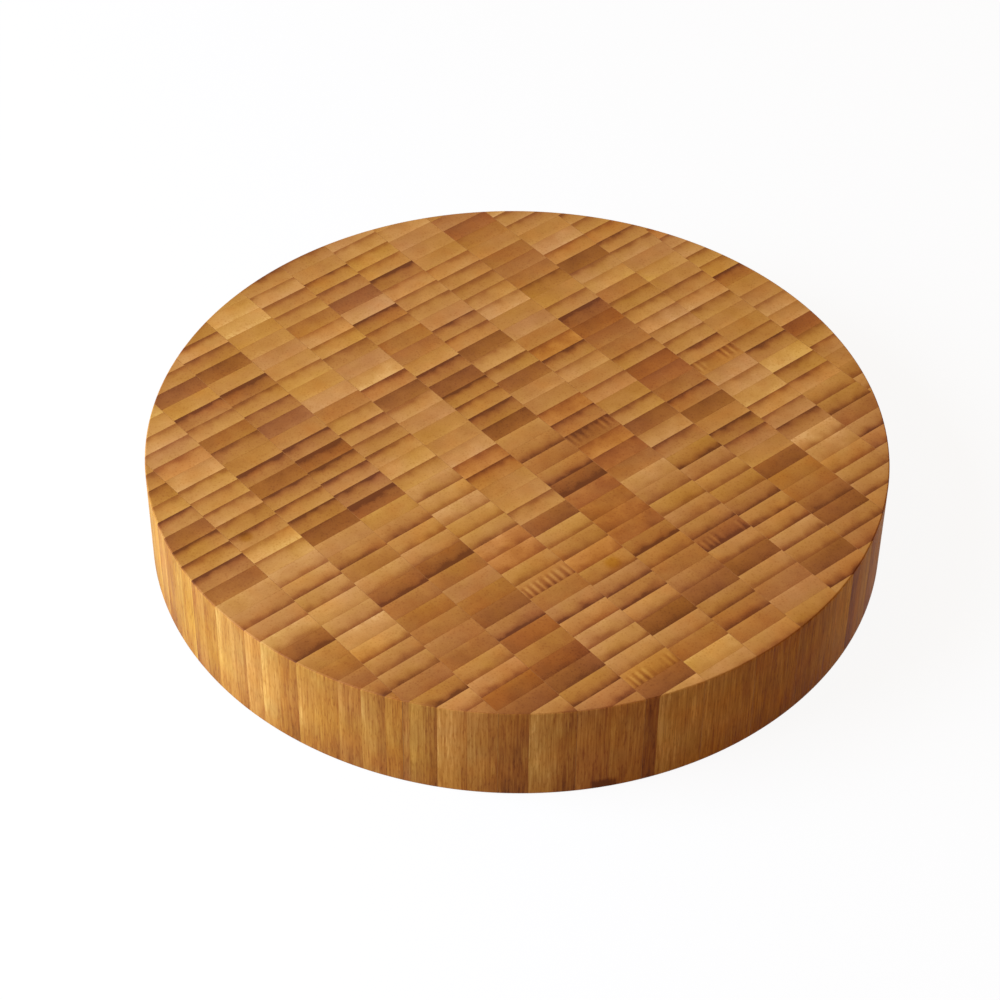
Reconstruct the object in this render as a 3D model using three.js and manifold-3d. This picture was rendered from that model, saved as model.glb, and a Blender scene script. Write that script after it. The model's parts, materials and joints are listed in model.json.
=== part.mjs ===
// Round end-grain serving board, glued up from rows of bamboo strips that stand on end.
// Millimetres, +Z up. The origin is the centre of the underside.
// The rows run along Y and lie side by side along X. Within a row the strips follow each other along Y.
import * as THREE from "three";
import { mergeVertices, toCreasedNormals } from "three/addons/utils/BufferGeometryUtils.js";
import Module from "manifold-3d";

// Board
const BOARD_DIAMETER = 254;
const BOARD_THICKNESS = 38;
const RIM_EASE = 0.8; // radius that takes the sharpness off the upper and lower rim

// Bamboo strips
const STRIP_WIDTH = 19.6; // broad face of a strip, across its row
const STRIP_THICKNESS = 7.25; // wall of the culm after planing, along the row
const MIDDLE_ROW_OFFSET = 2.75; // centre of the middle row, along X from the board's centre
const ROW_STAGGER = 0.9; // furthest that a row's strips are out of line with the board's centre, along Y
const STAGGER_TURN = 137.5; // degrees from row to row, which keep the stagger irregular

// Joints
const GROOVE_WIDTH = 0.3; // fine V where two strips of a row meet, on both faces and at the rim
const GROOVE_DEPTH = 0.2;
const GLUE_THICKNESS = 0.08; // film between two rows
const GLUE_CLEARANCE = 0.02; // on each side of a film
const GLUE_SETBACK = 0.2; // from the film's edge to the faces and the rim

// Facets of the round forms
const RIM_SEGMENTS = 96;
const EASE_STEPS = 1; // pairs of facets in a quarter round
const CREASE_ANGLE = 20; // degrees: sharper edges are shaded as edges

// Planks that the rows were sawn from: that of the middle row, and those of the others outwards from it
const PLANK_COLOURS = { brown: "#a56b39", amber: "#b1773d", honey: "#ba8143" };
const MIDDLE_PLANK = "brown";
const LEFT_PLANKS = ["amber", "honey", "brown", "brown", "honey", "brown"];
const RIGHT_PLANKS = ["amber", "amber", "brown", "honey", "honey", "amber"];
const GLUE_COLOUR = "#7a4a22";
const OILED_ROUGHNESS = 0.5;
const GLUE_ROUGHNESS = 0.35;

const radius = BOARD_DIAMETER / 2;
const rowGap = GLUE_THICKNESS + 2 * GLUE_CLEARANCE;
const rowPitch = STRIP_WIDTH + rowGap;
const sawnOff = radius + STRIP_WIDTH; // how far the outer planks reach before the board is sawn round

const wasm = await Module();
wasm.setup();

// A closed geometry as a solid that can be cut
function solidFrom(geometry) {
  const bare = geometry.clone();
  bare.deleteAttribute("normal");
  bare.deleteAttribute("uv");
  const merged = mergeVertices(bare);
  return new wasm.Manifold(
    new wasm.Mesh({
      numProp: 3,
      vertProperties: merged.attributes.position.array,
      triVerts: new Uint32Array(merged.index.array),
    }),
  );
}

// A cut solid as a geometry again
function geometryFrom(solid) {
  const { vertProperties, triVerts } = solid.getMesh();
  const geometry = new THREE.BufferGeometry();
  geometry.setAttribute("position", new THREE.BufferAttribute(vertProperties, 3));
  geometry.setIndex(new THREE.BufferAttribute(triVerts, 1));
  return toCreasedNormals(geometry, THREE.MathUtils.degToRad(CREASE_ANGLE));
}

// The whole disc with its eased rims, turned about Z
function discSolid() {
  const quarter = Math.PI / 2;
  const flat = radius - RIM_EASE;
  const profile = new THREE.Path();
  profile.moveTo(0, 0);
  profile.lineTo(flat, 0);
  profile.absarc(flat, RIM_EASE, RIM_EASE, -quarter, 0);
  profile.absarc(flat, BOARD_THICKNESS - RIM_EASE, RIM_EASE, 0, quarter);
  profile.lineTo(0, BOARD_THICKNESS);
  const disc = new THREE.LatheGeometry(profile.getPoints(EASE_STEPS), RIM_SEGMENTS);
  return solidFrom(disc.rotateX(quarter));
}

// Where the rows meet on one side of the middle row, outwards along X (side is -1 or 1).
// What is left at the rim stays with the last row if it is narrower than half a strip.
function rowJoints(side) {
  const joints = [];
  let x = MIDDLE_ROW_OFFSET + (side * rowPitch) / 2;
  while (radius - side * x > rowPitch / 2) {
    joints.push(x);
    x += side * rowPitch;
  }
  return joints;
}

// Where the strips of a row meet, along Y: one strip lies across the middle, moved by the row's stagger.
// What is left at the rim stays with the last strip if it is thinner than a quarter of a strip.
function stripJoints(row, left, right) {
  const shift = ROW_STAGGER * Math.sin(THREE.MathUtils.degToRad(STAGGER_TURN * row));
  const fromCentre = Math.max(0, left, -right);
  const reach = Math.sqrt(radius ** 2 - fromCentre ** 2) - STRIP_THICKNESS / 4;
  const joints = [];
  const first = Math.ceil((-reach - shift) / STRIP_THICKNESS - 0.5);
  for (let y = shift + (first + 0.5) * STRIP_THICKNESS; y < reach; y += STRIP_THICKNESS) {
    joints.push(y);
  }
  return joints;
}

// Outline of a row's plank seen along X, with a V at each joint below and above
function plankOutline(joints) {
  const halfGroove = GROOVE_WIDTH / 2;
  const start = -radius - STRIP_THICKNESS;
  const end = radius + STRIP_THICKNESS;
  const outline = new THREE.Shape();
  outline.moveTo(start, 0);
  for (const y of joints) {
    outline.lineTo(y - halfGroove, 0);
    outline.lineTo(y, GROOVE_DEPTH);
    outline.lineTo(y + halfGroove, 0);
  }
  outline.lineTo(end, 0);
  outline.lineTo(end, BOARD_THICKNESS);
  for (const y of joints.toReversed()) {
    outline.lineTo(y + halfGroove, BOARD_THICKNESS);
    outline.lineTo(y, BOARD_THICKNESS - GROOVE_DEPTH);
    outline.lineTo(y - halfGroove, BOARD_THICKNESS);
  }
  outline.lineTo(start, BOARD_THICKNESS);
  return outline;
}

// The plank of a row, from one row joint to the next
function plankSolid(joints, left, right) {
  const plank = new THREE.ExtrudeGeometry(plankOutline(joints), {
    depth: right - left,
    bevelEnabled: false,
  });
  const alongX = new THREE.Matrix4().makeBasis(
    new THREE.Vector3(0, 1, 0),
    new THREE.Vector3(0, 0, 1),
    new THREE.Vector3(1, 0, 0),
  );
  return solidFrom(plank.applyMatrix4(alongX).translate(left, 0, 0));
}

// Cutter of the upright V at a point of the rim: a slim diamond, a little longer than the board is thick
function rimCutter(x, y) {
  const diamond = new THREE.Shape();
  diamond.moveTo(GROOVE_DEPTH, 0);
  diamond.lineTo(0, GROOVE_WIDTH / 2);
  diamond.lineTo(-GROOVE_DEPTH, 0);
  diamond.lineTo(0, -GROOVE_WIDTH / 2);
  const cutter = new THREE.ExtrudeGeometry(diamond, {
    depth: BOARD_THICKNESS + 2 * GROOVE_DEPTH,
    bevelEnabled: false,
  });
  return solidFrom(cutter.rotateZ(Math.atan2(y, x)).translate(x, y, -GROOVE_DEPTH));
}

// One row: its plank sawn round with the board, with a V wherever two strips come out at the rim
function rowGeometry(joints, left, right, disc) {
  let row = plankSolid(joints, left, right).intersect(disc);
  for (const y of joints) {
    const reach = Math.sqrt(radius ** 2 - y ** 2);
    for (const x of [-reach, reach]) {
      if (x > left + GROOVE_WIDTH && x < right - GROOVE_WIDTH) {
        row = row.subtract(rimCutter(x, y));
      }
    }
  }
  return geometryFrom(row);
}

// The film of glue in a joint between two rows
function glueGeometry(x) {
  const length = 2 * (Math.sqrt(radius ** 2 - x ** 2) - GLUE_SETBACK);
  const height = BOARD_THICKNESS - 2 * GLUE_SETBACK;
  const film = new THREE.BoxGeometry(GLUE_THICKNESS, length, height);
  return film.translate(x, 0, BOARD_THICKNESS / 2);
}

const plankMaterials = {};
for (const [plank, color] of Object.entries(PLANK_COLOURS)) {
  plankMaterials[plank] = new THREE.MeshStandardMaterial({
    color,
    roughness: OILED_ROUGHNESS,
    metalness: 0,
  });
}
const glueMaterial = new THREE.MeshStandardMaterial({
  color: GLUE_COLOUR,
  roughness: GLUE_ROUGHNESS,
  metalness: 0,
});

const board = new THREE.Group();
board.name = "round_serving_board";
const disc = discSolid();

function addPiece(name, geometry, material) {
  const mesh = new THREE.Mesh(geometry, material);
  mesh.name = name;
  board.add(mesh);
}

// A row between two row joints, given from left to right
function addRow(name, row, leftJoint, rightJoint, plank) {
  const left = leftJoint + rowGap / 2;
  const right = rightJoint - rowGap / 2;
  const geometry = rowGeometry(stripJoints(row, left, right), left, right, disc);
  addPiece(name, geometry, plankMaterials[plank]);
}

// The rows and glue lines on one side of the middle row, numbered outwards
function addSide(sideName, side, planks) {
  const joints = rowJoints(side);
  joints.forEach((inner, index) => {
    const number = index + 1;
    const outer = joints[number] ?? side * sawnOff;
    const [left, right] = side < 0 ? [outer, inner] : [inner, outer];
    addRow(`strip_row_${sideName}_${number}`, side * number, left, right, planks[index % planks.length]);
    addPiece(`glue_line_${sideName}_${number}`, glueGeometry(inner), glueMaterial);
  });
}

addRow("strip_row_middle", 0, rowJoints(-1)[0] ?? -sawnOff, rowJoints(1)[0] ?? sawnOff, MIDDLE_PLANK);
addSide("left", -1, LEFT_PLANKS);
addSide("right", 1, RIGHT_PLANKS);

export default board;
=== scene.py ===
# Looks of a round end-grain serving board: bamboo strips and glue, a pale floor, soft light and a camera.
# Metres, +Z up, in the axes of the frame. The rows run along Y and lie side by side along X.
import json
import math
import random

import bmesh
import bpy
import numpy as np
from mathutils import Matrix, Vector


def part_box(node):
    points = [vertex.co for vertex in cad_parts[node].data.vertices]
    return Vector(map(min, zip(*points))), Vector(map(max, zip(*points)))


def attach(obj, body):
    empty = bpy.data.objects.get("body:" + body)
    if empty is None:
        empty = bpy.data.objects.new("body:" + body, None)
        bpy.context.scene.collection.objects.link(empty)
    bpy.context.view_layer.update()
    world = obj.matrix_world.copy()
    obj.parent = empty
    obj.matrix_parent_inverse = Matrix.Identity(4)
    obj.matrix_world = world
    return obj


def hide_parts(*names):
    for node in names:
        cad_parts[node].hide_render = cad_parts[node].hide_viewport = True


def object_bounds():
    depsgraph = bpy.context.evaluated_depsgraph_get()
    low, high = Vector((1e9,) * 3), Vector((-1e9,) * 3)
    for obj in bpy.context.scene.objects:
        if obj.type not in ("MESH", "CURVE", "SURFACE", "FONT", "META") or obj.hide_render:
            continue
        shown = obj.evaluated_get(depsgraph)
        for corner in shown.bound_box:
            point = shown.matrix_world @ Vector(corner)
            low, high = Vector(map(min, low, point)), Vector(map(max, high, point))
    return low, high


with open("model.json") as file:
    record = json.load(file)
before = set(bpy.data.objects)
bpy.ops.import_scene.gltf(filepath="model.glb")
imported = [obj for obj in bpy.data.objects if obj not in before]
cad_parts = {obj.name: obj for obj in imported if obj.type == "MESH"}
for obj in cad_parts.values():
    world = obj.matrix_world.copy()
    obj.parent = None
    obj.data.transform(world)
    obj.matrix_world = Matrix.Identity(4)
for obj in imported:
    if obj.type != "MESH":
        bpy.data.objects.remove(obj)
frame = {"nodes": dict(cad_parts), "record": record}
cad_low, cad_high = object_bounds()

MM = 0.001

# Camera: how the board is turned and placed in the picture
VIEW_TURN = math.radians(40.15)  # between the line of sight and the rows, seen from above
VIEW_ELEVATION = math.radians(43.5)
VIEW_ROLL = math.radians(0.63)
VIEW_DISTANCE = 971 * MM  # to the upper face's centre, which lies off the optical axis by the next two
VIEW_RIGHT = 5.7 * MM
VIEW_UP = 21.2 * MM
LENS = 102.1  # millimetres, as is the next one
SENSOR = 36

# Light, by the directions of the picture: from the left, a little from the front, and low
KEY_FROM = Vector((-1.1, -0.28, 0.6))
KEY_DISTANCE = 1.3
KEY_SIZE = 1.0
KEY_POWER = 24.5
KEY_COLOUR = (0.97, 1.25, 1.67)
AMBIENT_STRENGTH = 0.4
AMBIENT_COLOUR = (1.0, 0.55, 0.13)
FLOOR_SIZE = 30
FLOOR_GAP = 0.05 * MM  # between the floor and the board's underside
FLOOR_PASS = 0.2 * MM  # the floor lets shorter rays through, so that light reaches the underside
FLOOR_GREY = 0.26  # what the floor throws back at the board
FLOOR_WHITE = 0.97  # what the camera sees of it
FLOOR_LIFT = 0.92  # share of the floor's look that stays white under the board's shadow

# Strips
RIM_EASE = 0.6 * MM
EASE_STEPS = 12
RIM_SEGMENTS = 360
RIM_SUPPORT = 1 * MM  # ring of faces next to the eased rim, so that its round shading ends there
CUT_MARGIN = 0.02 * MM  # how far the sawn disc stands clear of the strips' faces
OVERHANG = 10 * MM  # of the strips at the rim before the board is sawn round
ARRIS = 0.02 * MM  # worn off each edge of a strip
HAIRLINE = 0.01 * MM  # between two strips of a row
CREASE = math.radians(10)
GLUE_SETBACK = 0.01 * MM  # of the glue in the joints between rows, from the faces and the rim
GROOVE_DEPTH = 0.2 * MM  # of the frame's own V at each joint, by which the joints are found
GROOVE_FIND = 0.01 * MM  # how near that depth a point has to be
JOINTS_APART = 1 * MM  # points of two joints lie further apart than this
AT_RIM = 1 * MM  # a row that reaches this near the rim is an outermost one
RIM_REST = 0.25  # a strip cut to a smaller share by the rim stays with its neighbour
ROW_STEP = 0.5 * MM  # how much further along Y each row's strips lie than in the frame, from row to row
ROW_SLIPS = {-5: -1.2 * MM, -3: 1.0 * MM, 3: -2.4 * MM}  # of rows that slipped when the planks were glued

# Tones run from 0, dark brown, to 1, pale straw
PLANK_TONES = {"bamboo_brown": 0.55, "bamboo_amber": 0.64, "bamboo_honey": 0.72}
PLANK_SPREAD = 0.08  # of tone from strip to strip of a plank
ROW_SPREAD = 0.04  # of tone from row to row of a plank
WARMTH_SPREAD = 0.3  # from strip to strip of a plank, where below 0 is olive and above 0 is russet
SKIN_RANGE = (0.8, 1.5)  # how strong the skin's shade is, from strip to strip of a plank
PALETTE = {
    0.00: (108, 58, 27),
    0.15: (135, 78, 36),
    0.35: (157, 97, 45),
    0.55: (176, 118, 56),
    0.75: (193, 137, 70),
    0.90: (207, 153, 84),
    1.00: (223, 173, 103),
}
RUSSET = (1.05, 0.93, 0.80)
OLIVE = (0.97, 1.00, 0.82)
SIDE_TINT = (1.10, 1.12, 0.93)  # long grain stays lighter under the oil than end grain, and more golden

# Looks of strips that stand out from their plank
LOOKS = {
    "darkest": {"tone": 0.30, "warmth": 0.3, "skin": 1.6},
    "dark": {"tone": 0.30, "warmth": 0.0, "skin": 0.3},
    "dark_skinned": {"tone": 0.25, "warmth": 0.2, "skin": 0.9},
    "olive": {"tone": 0.30, "warmth": -0.8, "skin": 0.3},
    "russet": {"tone": 0.32, "warmth": 0.8, "skin": 0.3},
    "umber": {"tone": 0.24, "warmth": -0.2, "skin": 0.4},
    "plain_brown": {"tone": 0.48, "warmth": 0.2, "skin": 0.25},
    "plain_light": {"tone": 0.66, "warmth": 0.0, "skin": 0.1},
    "light": {"tone": 0.76, "warmth": 0.0, "skin": 0.9},
    "pale": {"tone": 0.82, "warmth": 0.0, "skin": 0.4},
    "palest": {"tone": 0.95, "warmth": 0.0, "skin": 0.2},
    "orange": {"tone": 0.62, "warmth": 1.2, "skin": 0.8, "figure": 1.0},
    "swirled": {"tone": 0.38, "warmth": 0.9, "skin": 0.3, "figure": 1.0},
    "ticked": {"tone": 0.57, "warmth": 0.4, "skin": 0.8, "ticks": 1.0},
    "dark_ticked": {"tone": 0.36, "warmth": 0.4, "skin": 0.8, "ticks": 0.8},
}
# Where they are: row from the middle one, and strips from the centre along Y, numbered as in the frame
FEATURES = {
    "darkest": {-3: [5, 1]},
    "dark": {
        -6: [5, 1], -5: [-13], -4: [13, 5, 1, -13], -3: [13, 8, -8], -2: [-16], -1: [-5],
        0: [13, 5, 1], 1: [3], 2: [-3], 3: [-9],
    },
    "dark_skinned": {-6: [-4], -4: [-4], -3: [-4], 0: [-4], 3: [5]},
    "olive": {-1: [6], 1: [6], 2: [-15], 3: [-4], 4: [8]},
    "russet": {-4: [-12], -3: [-10, -12], 3: [14, 4, 0, -1], 6: [-3]},
    "umber": {-3: [-13], -1: [-13], 0: [-13], 1: [-13], 3: [-13]},
    "plain_brown": {
        -6: [-5, -6, -7], -5: [-9, -12], -4: [9, -2, -5, -6, -7, -8, -9], -3: [-5, -7, -11, -16],
        -2: [7, -9], -1: [13, -15], 0: [9, 8, -2, -11, -16], 1: [-5, -15],
        3: [15, 13, 11, 10, 9, 3, 2, -2, -10, -11], 4: [5], 5: [-9],
    },
    "plain_light": {
        -6: [0], -4: [12, 7, 0], -3: [12, 7, 0, -6], -2: [14, 13, 12, 11, 9, 8], -1: [9, 4, 3, 2, -2, -3],
        0: [16, 0], 1: [9, 2, 1, -16], 2: [15, 14, 13, 7, 6, 5, 1, -1], 3: [12, 7, -5, -8], 4: [11],
        5: [6, 4, 0, -1], 6: [1, -6],
    },
    "light": {
        -6: [7, -3], -5: [11, 1], -4: [-3], -3: [-3], -2: [-1, -2, -3, -14], -1: [16, 5, -6],
        1: [16, 15, 5], 2: [9, 8, 2], 3: [6], 4: [12, -4], 6: [5, 3, -1],
    },
    "pale": {
        -5: [12, 8, -3, -5], -2: [16, 2], -1: [8, 1, -16], 0: [12, 7], 1: [-6],
        2: [16, -4], 4: [10, 6, -3, -10], 5: [5], 6: [0, -2],
    },
    "palest": {-2: [15], 4: [-5], 5: [-4]},
    "orange": {-2: [-5, -6], -1: [0, -8], 1: [0, -3], 2: [4]},
    "swirled": {0: [-5, -6, -7, -8], 1: [-4]},
    "ticked": {-2: [-8, -15], 4: [-2]},
    "dark_ticked": {1: [-2, -11]},
}
# The culm's skin lies on a strip's +Y side down to this strip of the row, and on its -Y side below it
SKIN_TURNS = {-1: -4, 1: -5, 2: -5, 3: -8, 4: -8, 5: -6, 6: -6}
SKIN_TURN = 1

# Figure of the bamboo, in millimetres and in steps of tone
# Places are squeezed by these shares along X, Y and Z: a figure is long where its share is small
FIBRE = (1, 1, 0.05)
STRAIGHT_FIBRE = (1, 1, 0.012)
PATCH = (1, 1, 0.15)
DASH = (1, 1, 0.22)
BAR = (1, 0.06, 0.02)
STRIP_SHIFT = (71, 37, 53)  # of a strip's figure against that of others, times the strip's seed
RIM_NORMAL = (0.9, 0.3)  # Z of the normal where a face ends, and where the look of the rim is full

# Noises: cells in a millimetre and detail
DRIFT_NOISE = (0.13, 3)
STREAK_NOISE = (1.7, 3)
FLECK_NOISE = (1.6, 2)
COMB_GAP_NOISE = (0.12, 2)
GLUE_NOISE = (0.4, 4)
# Clouds: the same, and strength
SKIN_WANDER = (0.22, 1.2, 0.5)  # of the depth
PATCHES = (0.5, 3, 0.5)
GRAIN = (4.0, 1, 0.12)
COMB_WANDER = (0.25, 2, 6)  # of the bars' wave, in radians
WARMTH_CLOUD = (0.09, 2, 2.4)
BLUE_CLOUD = (0.05, 2, 0.7)
ROUGHNESS_CLOUD = (0.5, 2, 0.12)
# Bands: where they start, where they are full, and strength
SKIN_SHADE = (0.40, 1.0, 0.27)
SKIN_LINE = (0.68, 1.05, 0.16)
FLESH_LIGHT = (0.45, 0.0, 0.09)
FLECKS = (0.0, 0.24, 0.19)
COMB = (0.1, 0.45, 0.2)
FOOT_SHADE = (16, 0, 0.15)  # painted shade, darker towards the foot of the wall
# Strengths on the rim, where it cuts the strips' narrow sides and where it cuts their broad ones
SKIN_LOSS = (0.8, 0.4)
RIM_STREAKS = (0.30, 0.85)
EVENED = (0.45, 0.05)
LIFTED = (0.0, 0.09)

FACE_STREAKS = 0.14
DRIFT = 0.34
FIGURED_DRIFT = 0.4  # more of it in figured strips
WIDE_DOTS = 0.85  # fibre bundles in a millimetre of flesh
CLOSE_DOTS = 1.7  # the same under the skin
WIDE_DOT = (0.42, 0.16)  # from a bundle's middle, where its dot starts and where it is full
CLOSE_DOT = (0.45, 0.15)
DOTS_CHANGE = (0.35, 0.95)  # depths between which wide dots give way to close ones
DOT_SHADE = 0.10
COMB_PITCH = 2.6  # from bar to bar of a ticked strip
COMB_GAPS = (-0.2, 0.1)  # noise where the bars fade and where they are full
EVEN_TONE = 0.78  # that long grain tends to
# Painted shade along the eased edge
EDGE_SHADE = 0.6
RIM_WARMTH = 0.4
MAUVE_SPREAD = 0.10  # of blue from strip to strip
# Spots where a bud or rootlet grew, the last one a dark mark low on the wall: X, Y, radius, height above
# the underside, and shade
SPOTS = (
    (-100.4, 19.6, 2.2, 40, 0.20),
    (-14.6, -66.0, 2.6, 40, 0.10),
    (-58.0, -113.0, 4.0, 3.5, 0.60),
)
SPOT_START = 1.4  # radii from its middle
SPOT_FULL = 0.5
SPOT_FADE = 1.5  # below and above its height
SPOT_BLUE = -0.4  # change of blue in a spot

# Finish of the wood and of the glue
ROUGHNESS = 0.58
DOT_ROUGHNESS = -0.06  # change of roughness in a dot
DOT_RELIEF = 0.08
BUMP_STRENGTH = 0.25
BUMP_HEIGHT = 0.1 * MM
SPECULAR = 0.08
GLUE_PALETTE = {0.2: (150, 92, 42), 0.8: (184, 126, 64)}
GLUE_ROUGHNESS = 0.35
GLUE_ROUGHNESS_SPREAD = 0.2
GLUE_SPECULAR = 0.15

# Map for baked textures: what shows gets most of its width, in a cell for each side of each strip
MAP_NAME = "OFBake"
MAP_SHOWN_SHARE = 0.85
MAP_SHOWN_COLUMNS = 6
MAP_HIDDEN_COLUMNS = 4
MAP_MARGIN = 0.002
ABOVE, BELOW, OUTSIDE, HIDDEN = range(4)  # sides of a strip, and the first of two hidden ones along X
HIDDEN_ALONG_Y = HIDDEN + 2  # the first of two
STEEP = 0.5  # Z of the normal where the eased rim passes from the wall to a face

slot_of = {part["node"]: part["material_slot"] for part in frame["record"]["subparts"]}
radius = (cad_high.y - cad_low.y) / 2


# Rows and strips of the frame

def row_number(node):
    """0 for the middle row, below 0 to the left of it."""
    side, _, number = node.removeprefix("strip_row_").partition("_")
    return {"left": -1, "middle": 0, "right": 1}[side] * int(number or 0)


def frame_joints(node):
    """Where the frame's strips of a row meet, along Y, from the bottoms of its V's."""
    shown = frame["nodes"][node]
    points = np.array([shown.matrix_world @ vertex.co for vertex in shown.data.vertices])
    in_groove = abs(points[:, 2] - cad_high.z + GROOVE_DEPTH) < GROOVE_FIND
    found = np.sort(points[in_groove, 1])
    joints = np.split(found, np.nonzero(np.diff(found) > JOINTS_APART)[0] + 1)
    return np.array([joint.mean() for joint in joints])


def strip_joints(node):
    """Where a row's strips meet once moved along it, and the number of the one before the first joint."""
    row = row_number(node)
    joints = frame_joints(node)
    pitch = float(np.median(np.diff(joints)))
    first = -1 - np.searchsorted(joints, 0)
    extended = np.array([joints[0] - pitch, *joints, joints[-1] + pitch])
    moved = extended + ROW_STEP * row + ROW_SLIPS.get(row, 0)
    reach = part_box(node)[1].y - pitch * RIM_REST
    return moved[abs(moved) < reach], int(first + (moved <= -reach).sum())


# Geometry of the strips

def add_object(name, mesh):
    made = bpy.data.objects.new(name, mesh)
    bpy.context.scene.collection.objects.link(made)
    return made


def mesh_from(builder, name):
    """A mesh datablock from a bmesh, which is freed."""
    mesh = bpy.data.meshes.new(name)
    builder.to_mesh(mesh)
    builder.free()
    return mesh


def sawn_profile():
    """Radius and height along the disc's outline, from the lower face to the upper one."""
    middle = (cad_low.z + cad_high.z) / 2
    half = cad_high.z - middle + CUT_MARGIN
    upper = [(radius, half - RIM_EASE - RIM_SUPPORT)]
    for step in range(EASE_STEPS + 1):
        angle = math.pi / 2 * step / EASE_STEPS
        upper.append((radius - RIM_EASE * (1 - math.cos(angle)), half - RIM_EASE * (1 - math.sin(angle))))
    lower = [(r, -z) for r, z in reversed(upper)]
    return [(r, middle + z) for r, z in lower + upper]


def sawn_disc():
    """The round outline that the board is sawn to."""
    builder = bmesh.new()
    turns = [math.tau * step / RIM_SEGMENTS for step in range(RIM_SEGMENTS)]
    rings = []
    for r, z in sawn_profile():
        rings.append([builder.verts.new((r * math.cos(turn), r * math.sin(turn), z)) for turn in turns])
    for below, above in zip(rings, rings[1:]):
        for i in range(RIM_SEGMENTS):
            j = (i + 1) % RIM_SEGMENTS
            builder.faces.new((below[i], below[j], above[j], above[i]))
    builder.faces.new(rings[0][::-1])
    builder.faces.new(rings[-1])
    return add_object("sawn_disc", mesh_from(builder, "sawn_disc"))


def strips_mesh(name, low, high, joints):
    """The strips of one row before sawing: a box each, with its edges taken off."""
    builder = bmesh.new()
    ends = [-radius - OVERHANG, *joints, radius + OVERHANG]
    for start, end in zip(ends, ends[1:]):
        corner = Vector((low.x, start + HAIRLINE / 2, low.z))
        opposite = Vector((high.x, end - HAIRLINE / 2, high.z))
        size = Matrix.Diagonal((*(opposite - corner), 1))
        bmesh.ops.create_cube(builder, size=1, matrix=Matrix.Translation((corner + opposite) / 2) @ size)
    bmesh.ops.bevel(builder, geom=builder.edges[:], offset=ARRIS, segments=1, affect="EDGES")
    return mesh_from(builder, name)


def film_mesh(name, low, high):
    """A film of glue: the board's upright section between two rows, a little smaller all round."""
    middle = (low.x + high.x) / 2
    edge = []
    for r, z in sawn_profile():
        reach = math.sqrt((r - GLUE_SETBACK) ** 2 - middle ** 2)
        edge.append((reach, min(max(z, cad_low.z + GLUE_SETBACK), cad_high.z - GLUE_SETBACK)))
    outline = edge + [(-y, z) for y, z in reversed(edge)]
    builder = bmesh.new()
    left = [builder.verts.new((low.x, y, z)) for y, z in outline]
    right = [builder.verts.new((high.x, y, z)) for y, z in outline]
    for i, j in zip(range(-1, len(outline) - 1), range(len(outline))):
        builder.faces.new((left[i], left[j], right[j], right[i]))
    builder.faces.new(left[::-1])
    builder.faces.new(right)
    return mesh_from(builder, name)


def saw_round(row, disc):
    """Cuts a row to the disc and shades its wall smooth."""
    whole = row.data
    cut = row.modifiers.new("sawn_round", "BOOLEAN")
    cut.operation = "INTERSECT"
    cut.solver = "MANIFOLD"
    cut.object = disc
    sawn = bpy.data.meshes.new_from_object(row.evaluated_get(bpy.context.evaluated_depsgraph_get()))
    row.modifiers.clear()
    row.data = sawn
    bpy.data.meshes.remove(whole)
    sawn.materials.clear()
    sawn.shade_smooth()
    sawn.set_sharp_from_angle(angle=CREASE)


# Character of the strips

def strip_look(row, strip, plank):
    """Tone and other traits of a strip. Rows of one plank have its strips in common."""
    shared = random.Random(f"{plank} strip {strip}")
    own = random.Random(f"row {row} strip {strip}")
    look = {
        "tone": PLANK_TONES[plank] + shared.gauss(0, PLANK_SPREAD),
        "warmth": shared.gauss(0, WARMTH_SPREAD),
        "skin": shared.uniform(*SKIN_RANGE),
        "figure": 0.0,
        "ticks": 0.0,
    }
    for name, places in FEATURES.items():
        if strip in places.get(row, []):
            look |= LOOKS[name]
    look["tone"] += own.gauss(0, ROW_SPREAD)
    look["seed"] = own.random()
    look["mauve"] = own.gauss(0, 1)
    return look


def write_attribute(mesh, name, values):
    attribute = mesh.attributes.new(name, "FLOAT", "POINT")
    attribute.data.foreach_set("value", np.asarray(values, np.float32))


def write_strips(mesh, row, joints, first, plank):
    """Gives each vertex its strip's traits, and its depth in the culm: 0 at the flesh, 1 at the skin."""
    along_row = np.array([vertex.co.y for vertex in mesh.vertices])
    index = np.searchsorted(joints, along_row)
    looks = [strip_look(row, first + number, plank) for number in range(len(joints) + 1)]
    for trait in looks[0]:
        write_attribute(mesh, trait, [looks[number][trait] for number in index])
    pitch = float(np.median(np.diff(joints)))
    lower = np.concatenate([[joints[0] - pitch], joints])[index]
    depth = (along_row - lower) / pitch
    turned = first + index < SKIN_TURNS.get(row, SKIN_TURN)
    write_attribute(mesh, "depth", np.clip(np.where(turned, 1 - depth, depth), 0, 1))


# Map of the strips

def face_sides(normals, centres):
    """The side of its strip that each face is on."""
    axis = np.argmax(abs(normals[:, :2]), axis=1)
    along = np.take_along_axis(normals, axis[:, None], axis=1)[:, 0]
    sides = HIDDEN + 2 * axis + (along > 0)
    from_middle = np.hypot(centres[:, 0], centres[:, 1])
    outward = (normals[:, :2] * centres[:, :2]).sum(axis=1) / from_middle
    sides[(from_middle > radius - RIM_SUPPORT) & (outward > STEEP)] = OUTSIDE
    sides[normals[:, 2] > STEEP] = ABOVE
    sides[normals[:, 2] < -STEEP] = BELOW
    return sides


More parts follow.
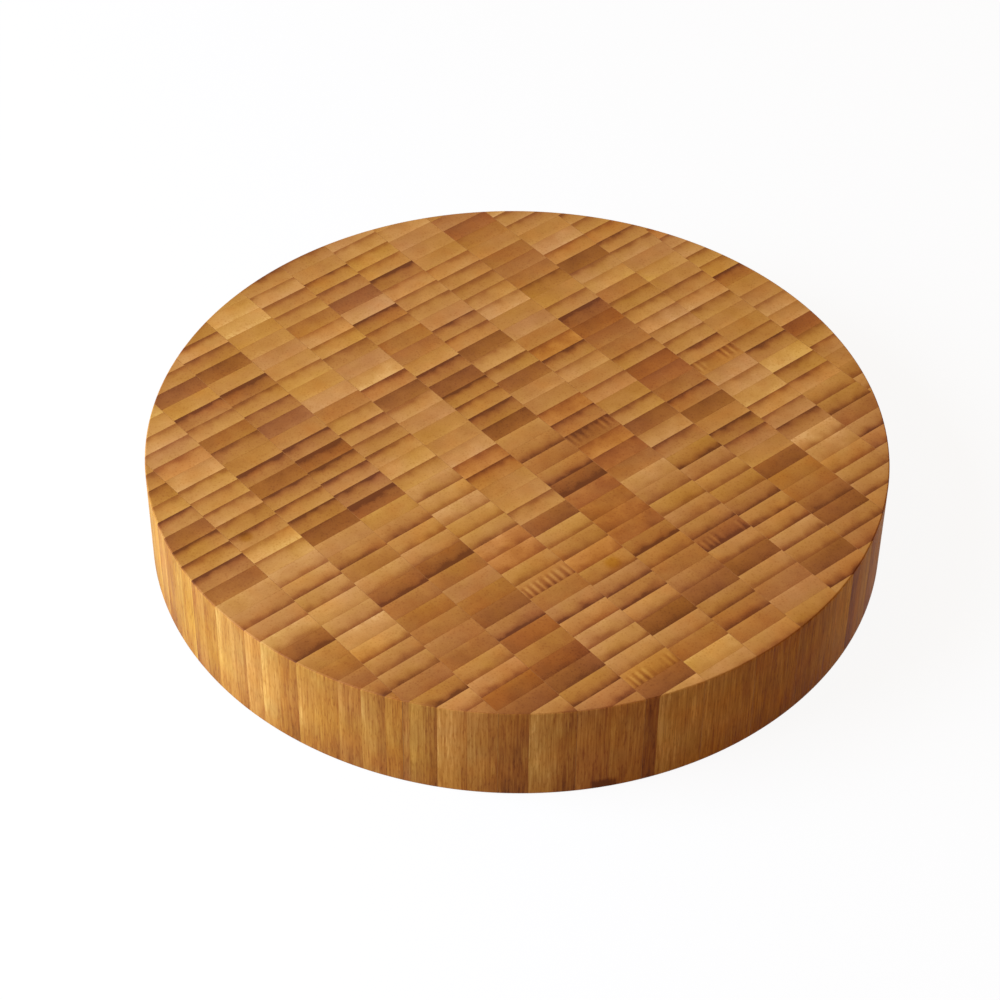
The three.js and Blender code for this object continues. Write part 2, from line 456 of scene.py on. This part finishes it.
def laid_flat(side, points):
    """Points on one side of a strip in two dimensions, from 0 to 1, with the longer one first."""
    x, y, z = points.T
    if side in (ABOVE, BELOW):
        flat = np.stack([x, y], axis=1)
    elif side == OUTSIDE:
        middle = math.atan2(y.mean(), x.mean())
        turn = (np.arctan2(y, x) - middle + math.pi) % math.tau - math.pi
        flat = np.stack([turn * radius, z], axis=1)
    else:
        flat = np.stack([y if side < HIDDEN_ALONG_Y else x, z], axis=1)
    low = flat.min(axis=0)
    size = flat.max(axis=0) - low
    return ((flat - low) / size)[:, np.argsort(-size)]


def map_cells(count, columns, left, right):
    """Low corners of equal cells between two places across the map, and their size."""
    lines = math.ceil(count / columns)
    column, line = np.divmod(np.arange(count), lines)
    size = np.array([(right - left) / columns, 1 / lines])
    return np.array([left, 0]) + np.stack([column, line], axis=1) * size, size


def write_map(mesh, joints):
    """Gives each side of each strip a cell of its own on the map."""
    points = np.array([mesh.vertices[corner.vertex_index].co for corner in mesh.loops])
    face = np.repeat(np.arange(len(mesh.polygons)), [polygon.loop_total for polygon in mesh.polygons])
    centres = np.array([polygon.center for polygon in mesh.polygons])
    sides = face_sides(np.array([polygon.normal for polygon in mesh.polygons]), centres)
    strips = len(joints) + 1
    groups = (sides * strips + np.searchsorted(joints, centres[:, 1]))[face]
    present = np.unique(groups)
    shown = present[present < HIDDEN * strips]
    hidden = present[present >= HIDDEN * strips]
    places = np.empty((len(points), 2), np.float32)
    layout = (
        (shown, MAP_SHOWN_COLUMNS, 0, MAP_SHOWN_SHARE),
        (hidden, MAP_HIDDEN_COLUMNS, MAP_SHOWN_SHARE, 1),
    )
    for members, columns, left, right in layout:
        corners, size = map_cells(len(members), columns, left, right)
        for group, corner in zip(members, corners):
            here = groups == group
            flat = laid_flat(group // strips, points[here])
            places[here] = corner + MAP_MARGIN + flat * (size - 2 * MAP_MARGIN)
    mesh.uv_layers.new(name=MAP_NAME).uv.foreach_set("vector", places.ravel())


# Materials

def linear(colour):
    """A colour as read from a screen, 0 to 255, as the shader needs it."""
    shares = [part / 255 for part in colour]
    return (*(x / 12.92 if x <= 0.04045 else ((x + 0.055) / 1.055) ** 2.4 for x in shares), 1)


# The mix node has sockets for numbers, vectors and colours: these are the ones for colours
MIX_COLOUR_INPUTS = (0, 6, 7)
MIX_COLOUR_OUTPUT = 2
NOISE_MIDDLE = 0.5  # of what the noise node gives


class Shader:
    """A material's nodes. An input is given as a number, a colour or another node's output."""

    def __init__(self, owner):
        owner.use_nodes = True
        self.tree = owner.node_tree
        self.tree.nodes.clear()

    def node(self, kind, inputs=(), **settings):
        made = self.tree.nodes.new("ShaderNode" + kind)
        for name, value in settings.items():
            setattr(made, name, value)
        for socket, value in dict(inputs).items():
            if isinstance(value, bpy.types.NodeSocket):
                self.tree.links.new(value, made.inputs[socket])
            else:
                made.inputs[socket].default_value = value
        return made

    def add(self, kind, inputs=(), output=0, **settings):
        return self.node(kind, inputs, **settings).outputs[output]

    def trait(self, name):
        return self.add("Attribute", output="Fac", attribute_name=name)

    def math(self, operation, *values):
        return self.add("Math", enumerate(values), operation=operation)

    def vector(self, operation, *values):
        return self.add("VectorMath", enumerate(values), operation=operation)

    def total(self, *terms):
        sum_so_far = terms[0]
        for term in terms[1:]:
            sum_so_far = self.math("ADD", sum_so_far, term)
        return sum_so_far

    def times(self, *factors):
        product = factors[0]
        for factor in factors[1:]:
            product = self.math("MULTIPLY", product, factor)
        return product

    def rise(self, value, start, end):
        """0 at start and 1 at end, smoothly between them."""
        inputs = {"Value": value, "From Min": start, "From Max": end}
        return self.add("MapRange", inputs, interpolation_type="SMOOTHSTEP")

    def band(self, value, start, end, strength):
        return self.times(self.rise(value, start, end), strength)

    def millimetres(self):
        """Places on the piece."""
        return self.vector("MULTIPLY", self.add("TexCoord", output="Object"), (1 / MM, 1 / MM, 1 / MM))

    def noise(self, place, scale, detail):
        """Noise around 0."""
        made = self.add("TexNoise", {"Vector": place, "Scale": scale, "Detail": detail})
        return self.math("SUBTRACT", made, NOISE_MIDDLE)

    def cloud(self, place, scale, detail, strength):
        return self.times(self.noise(place, scale, detail), strength)

    def mix(self, share, first, second, blend="MIX"):
        inputs = dict(zip(MIX_COLOUR_INPUTS, (share, first, second)))
        return self.add("Mix", inputs, MIX_COLOUR_OUTPUT, data_type="RGBA", blend_type=blend)

    def tinted(self, share, colour, tint):
        return self.mix(share, colour, self.mix(1, colour, (*tint, 1), "MULTIPLY"))

    def palette(self, value, stops):
        made = self.node("ValToRGB", {"Fac": value})
        elements = made.color_ramp.elements
        while len(elements) < len(stops):
            elements.new(1)
        for element, (place, colour) in zip(elements, sorted(stops.items())):
            element.position = place
            element.color = linear(colour)
        return made.outputs["Color"]

    def finish(self, surface, kind="OutputMaterial"):
        self.node(kind, {"Surface": surface})


class Bamboo(Shader):
    """Bamboo whose fibres stand along Z: dots and shades on the faces, upright streaks on the rim."""

    def __init__(self, owner):
        super().__init__(owner)
        self.place = self.millimetres()
        self.height = self.add("SeparateXYZ", {0: self.place}, output="Z")
        seed = self.trait("seed")
        shift = self.add("CombineXYZ", enumerate(self.times(seed, length) for length in STRIP_SHIFT))
        self.own_place = self.vector("ADD", self.place, shift)
        self.fibre = self.squeezed(FIBRE)
        self.straight_fibre = self.squeezed(STRAIGHT_FIBRE)
        self.depth = self.trait("depth")
        normal = self.node("SeparateXYZ", {0: self.add("NewGeometry", output="Normal")}).outputs
        self.rim = self.rise(self.math("ABSOLUTE", normal["Z"]), *RIM_NORMAL)
        self.broad = self.rise(self.math("ABSOLUTE", normal["Y"]), 0, 1)

    def squeezed(self, shares):
        return self.vector("MULTIPLY", self.own_place, shares)

    def on_rim(self, narrow, broad):
        """A strength on the rim, by which sides of the strips it cuts, and 0 on the faces."""
        return self.times(self.rim, self.math("ADD", narrow, self.times(self.broad, broad - narrow)))

    def skin(self):
        """A broad shade and a narrow dark line, both uneven along the strip."""
        near_skin = self.math("ADD", self.depth, self.cloud(self.fibre, *SKIN_WANDER))
        shade = self.math("ADD", self.band(near_skin, *SKIN_SHADE), self.band(near_skin, *SKIN_LINE))
        return self.times(shade, self.trait("skin"), self.math("SUBTRACT", 1, self.on_rim(*SKIN_LOSS)))

    def bundles(self, count):
        """How far it is to the middle of the nearest fibre bundle."""
        return self.add("TexVoronoi", {"Vector": self.straight_fibre, "Scale": count}, output="Distance")

    def dots(self):
        """Fibre bundles: wide apart in the flesh, close together under the skin."""
        inner, outer = DOTS_CHANGE
        in_flesh = self.rise(self.depth, outer, inner)
        under_skin = self.rise(self.depth, inner, outer)
        wide = self.times(self.rise(self.bundles(WIDE_DOTS), *WIDE_DOT), in_flesh)
        close = self.times(self.rise(self.bundles(CLOSE_DOTS), *CLOSE_DOT), under_skin)
        return self.math("ADD", wide, close)

    def drift(self):
        """Slow change of tone along the fibres, stronger in figured strips."""
        strength = self.math("ADD", DRIFT, self.times(self.trait("figure"), FIGURED_DRIFT))
        return self.times(self.noise(self.fibre, *DRIFT_NOISE), strength)

    def streaks(self):
        """Narrow streaks along the fibres, strongest on the rim."""
        strength = self.math("ADD", FACE_STREAKS, self.on_rim(*RIM_STREAKS))
        return self.times(self.noise(self.fibre, *STREAK_NOISE), strength)

    def flecks(self):
        """Short dark dashes on the rim."""
        return self.times(self.band(self.noise(self.squeezed(DASH), *FLECK_NOISE), *FLECKS), self.rim)

    def patches(self):
        """Lighter and darker patches on the rim."""
        return self.times(self.cloud(self.squeezed(PATCH), *PATCHES), self.rim)

    def comb(self):
        """Bars of fibres cut through a joint of the cane."""
        upright = self.squeezed(BAR)
        across = self.add("SeparateXYZ", {0: self.own_place}, output="X")
        turn = self.times(across, math.tau / COMB_PITCH)
        wave = self.math("ADD", turn, self.cloud(upright, *COMB_WANDER))
        gaps = self.rise(self.noise(upright, *COMB_GAP_NOISE), *COMB_GAPS)
        bars = self.times(self.math("SINE", wave), self.band(self.depth, *COMB))
        return self.times(bars, gaps, self.trait("ticks"))

    def spots(self):
        """Spots from the underside up to their height: how far each place is in one, and their shade."""
        on_face = self.vector("MULTIPLY", self.place, (1, 1, 0))
        inside = 0
        shade = 0
        for x, y, size, top, dark in SPOTS:
            away = self.add("VectorMath", {0: on_face, 1: (x, y, 0)}, "Value", operation="DISTANCE")
            disc = self.rise(away, SPOT_START * size, SPOT_FULL * size)
            spot = self.times(disc, self.rise(self.height, top + SPOT_FADE, top - SPOT_FADE))
            inside = self.math("ADD", inside, spot)
            shade = self.math("ADD", shade, self.times(spot, dark))
        return inside, shade

    def long_grain(self):
        """On the rim, long grain is lighter and more even than end grain."""
        towards_even = self.math("SUBTRACT", EVEN_TONE, self.trait("tone"))
        return self.math("ADD", self.times(towards_even, self.on_rim(*EVENED)), self.on_rim(*LIFTED))

    def painted_edge_and_foot_shade(self):
        """Painted shade: darker along the eased edge and towards the foot of the wall."""
        edge = self.times(self.rim, self.math("SUBTRACT", 1, self.rim), EDGE_SHADE)
        return self.math("ADD", edge, self.times(self.band(self.height, *FOOT_SHADE), self.rim))

    def colour(self, tone, in_spots):
        """The colour of a tone, russet or olive by the strip and the place, and less blue in spots."""
        warm_rim = self.times(self.rim, RIM_WARMTH)
        warmth = self.total(self.trait("warmth"), self.cloud(self.own_place, *WARMTH_CLOUD), warm_rim)
        colour = self.palette(tone, PALETTE)
        colour = self.tinted(self.math("MAXIMUM", warmth, 0), colour, RUSSET)
        colour = self.tinted(self.math("MAXIMUM", self.times(warmth, -1), 0), colour, OLIVE)
        colour = self.tinted(self.rim, colour, SIDE_TINT)
        mauve = self.times(self.trait("mauve"), MAUVE_SPREAD)
        blue = self.total(1, mauve, self.cloud(self.place, *BLUE_CLOUD), self.times(in_spots, SPOT_BLUE))
        return self.vector("MULTIPLY", colour, self.add("CombineXYZ", {"X": 1, "Y": 1, "Z": blue}))


def new_material(name, kind=Shader):
    material = bpy.data.materials.new(name)
    return material, kind(material)


def bamboo_material(name):
    """Oiled bamboo. A place's tone is the strip's own, with what makes it lighter and darker."""
    material, s = new_material(name, Bamboo)
    dots = s.dots()
    grain = s.cloud(s.straight_fibre, *GRAIN)
    in_spots, spots = s.spots()
    darker = s.total(s.skin(), s.times(dots, DOT_SHADE), s.flecks(), s.painted_edge_and_foot_shade(), spots)
    flesh = s.band(s.depth, *FLESH_LIGHT)
    face = s.total(s.trait("tone"), flesh, s.drift(), s.streaks(), grain, s.comb())
    lighter = s.total(face, s.long_grain(), s.patches())
    colour = s.colour(s.math("SUBTRACT", lighter, darker), in_spots)
    roughness = s.total(ROUGHNESS, s.cloud(s.fibre, *ROUGHNESS_CLOUD), s.times(dots, DOT_ROUGHNESS))
    relief = s.math("SUBTRACT", grain, s.times(dots, DOT_RELIEF))
    bump = s.add("Bump", {"Strength": BUMP_STRENGTH, "Distance": BUMP_HEIGHT, "Height": relief})
    s.finish(s.add("BsdfPrincipled", {
        "Base Color": colour, "Roughness": roughness, "Specular IOR Level": SPECULAR, "Normal": bump,
    }))
    return material


def glue_material():
    """Cured glue: amber brown, uneven in thickness."""
    material, s = new_material("glue_cured")
    cloud = s.noise(s.millimetres(), *GLUE_NOISE)
    colour = s.palette(s.math("ADD", cloud, NOISE_MIDDLE), GLUE_PALETTE)
    roughness = s.math("ADD", GLUE_ROUGHNESS, s.times(cloud, GLUE_ROUGHNESS_SPREAD))
    s.finish(s.add("BsdfPrincipled", {
        "Base Color": colour, "Roughness": roughness, "Specular IOR Level": GLUE_SPECULAR,
    }))
    return material


def seen_directly(s):
    """1 for rays from the camera, and for those that gloss or glass sends on."""
    path = s.node("LightPath")
    seen = ("Is Camera Ray", "Is Glossy Ray", "Is Transmission Ray")
    return s.math("MINIMUM", s.total(*(path.outputs[ray] for ray in seen)), 1)


def floor_material():
    """Pale floor that shows white, with a faint shadow, and doesn't hide the board from below."""
    material, s = new_material("floor")
    thrown_back = s.add("BsdfDiffuse", {"Color": (FLOOR_GREY, FLOOR_GREY, FLOOR_GREY, 1)})
    white = s.add("BsdfDiffuse", {"Color": (FLOOR_WHITE, FLOOR_WHITE, FLOOR_WHITE, 1)})
    glow = s.add("Emission", {"Color": (1, 1, 1, 1), "Strength": 1})
    look = s.add("MixShader", {0: FLOOR_LIFT, 1: white, 2: glow})
    above = s.add("MixShader", {0: seen_directly(s), 1: thrown_back, 2: look})
    from_below = s.add("NewGeometry", output="Backfacing")
    from_underside = s.math("LESS_THAN", s.add("LightPath", output="Ray Length"), FLOOR_PASS)
    open_to = s.math("MAXIMUM", from_below, from_underside)
    s.finish(s.add("MixShader", {0: open_to, 1: above, 2: s.add("BsdfTransparent")}))
    return material


# Pieces, stage, light and camera

def make_rows():
    """The strips of each row, in place of the row's solid."""
    disc = sawn_disc()
    materials = {plank: bamboo_material(f"{plank}_oiled") for plank in PLANK_TONES}
    for node in sorted(name for name in frame["nodes"] if name.startswith("strip_row_")):
        low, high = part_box(node)
        if low.x < AT_RIM - radius:
            low.x -= OVERHANG
        if high.x > radius - AT_RIM:
            high.x += OVERHANG
        joints, first = strip_joints(node)
        name = node.replace("strip_row", "strips")
        row = add_object(name, strips_mesh(name, low, high, joints))
        saw_round(row, disc)
        write_strips(row.data, row_number(node), joints, first, slot_of[node])
        write_map(row.data, joints)
        row.data.materials.append(materials[slot_of[node]])
        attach(row, "root")
        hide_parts(node)
    bpy.data.objects.remove(disc)


def make_glue():
    """Films of glue between the rows. They fill their joints almost to the surface."""
    glue = glue_material()
    for node in sorted(name for name in frame["nodes"] if name.startswith("glue_line_")):
        name = node.replace("glue_line", "glue")
        film = add_object(name, film_mesh(name, *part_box(node)))
        film.data.materials.append(glue)
        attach(film, "root")
        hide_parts(node)


def make_floor():
    builder = bmesh.new()
    bmesh.ops.create_grid(builder, x_segments=1, y_segments=1, size=FLOOR_SIZE / 2)
    floor = add_object("floor", mesh_from(builder, "floor"))
    floor.location.z = cad_low.z - FLOOR_GAP
    floor.data.materials.append(floor_material())


def make_world():
    world = bpy.data.worlds.new("studio")
    bpy.context.scene.world = world
    s = Shader(world)
    ambient = s.add("Background", {"Color": (*AMBIENT_COLOUR, 1), "Strength": AMBIENT_STRENGTH})
    white = s.add("Background", {"Color": (1, 1, 1, 1), "Strength": 1})
    s.finish(s.add("MixShader", {0: seen_directly(s), 1: ambient, 2: white}), "OutputWorld")


def picture_axes():
    """The picture's right, its line of sight along the floor, and up, in the frame's axes."""
    right = Vector((math.cos(VIEW_TURN), -math.sin(VIEW_TURN), 0))
    onward = Vector((math.sin(VIEW_TURN), math.cos(VIEW_TURN), 0))
    return right, onward, Vector((0, 0, 1))


def axes_matrix(right, up, back, place):
    columns = Matrix((right, up, back)).transposed()
    return Matrix.Translation(place) @ columns.to_4x4()


def upper_centre():
    return Vector((0, 0, cad_high.z))


def make_key_light():
    right, onward, up = picture_axes()
    back = (right * KEY_FROM.x + onward * KEY_FROM.y + up * KEY_FROM.z).normalized()
    lamp = bpy.data.lights.new("key", "AREA")
    lamp.size = KEY_SIZE
    lamp.energy = KEY_POWER
    lamp.color = KEY_COLOUR
    key = add_object("key", lamp)
    side = up.cross(back).normalized()
    key.matrix_world = axes_matrix(side, back.cross(side), back, upper_centre() + back * KEY_DISTANCE)


def make_camera():
    right, onward, up = picture_axes()
    forward = onward * math.cos(VIEW_ELEVATION) - up * math.sin(VIEW_ELEVATION)
    above = onward * math.sin(VIEW_ELEVATION) + up * math.cos(VIEW_ELEVATION)
    place = upper_centre() - right * VIEW_RIGHT - above * VIEW_UP - forward * VIEW_DISTANCE
    rolled_right = right * math.cos(VIEW_ROLL) + above * math.sin(VIEW_ROLL)
    rolled_up = above * math.cos(VIEW_ROLL) - right * math.sin(VIEW_ROLL)
    lens = bpy.data.cameras.new("camera")
    lens.lens = LENS
    lens.sensor_width = SENSOR
    camera = add_object("camera", lens)
    camera.matrix_world = axes_matrix(rolled_right, rolled_up, -forward, place)
    bpy.context.scene.camera = camera


make_rows()
make_glue()
make_floor()
make_world()
make_key_light()
make_camera()
bpy.context.scene.view_settings.view_transform = "Standard"
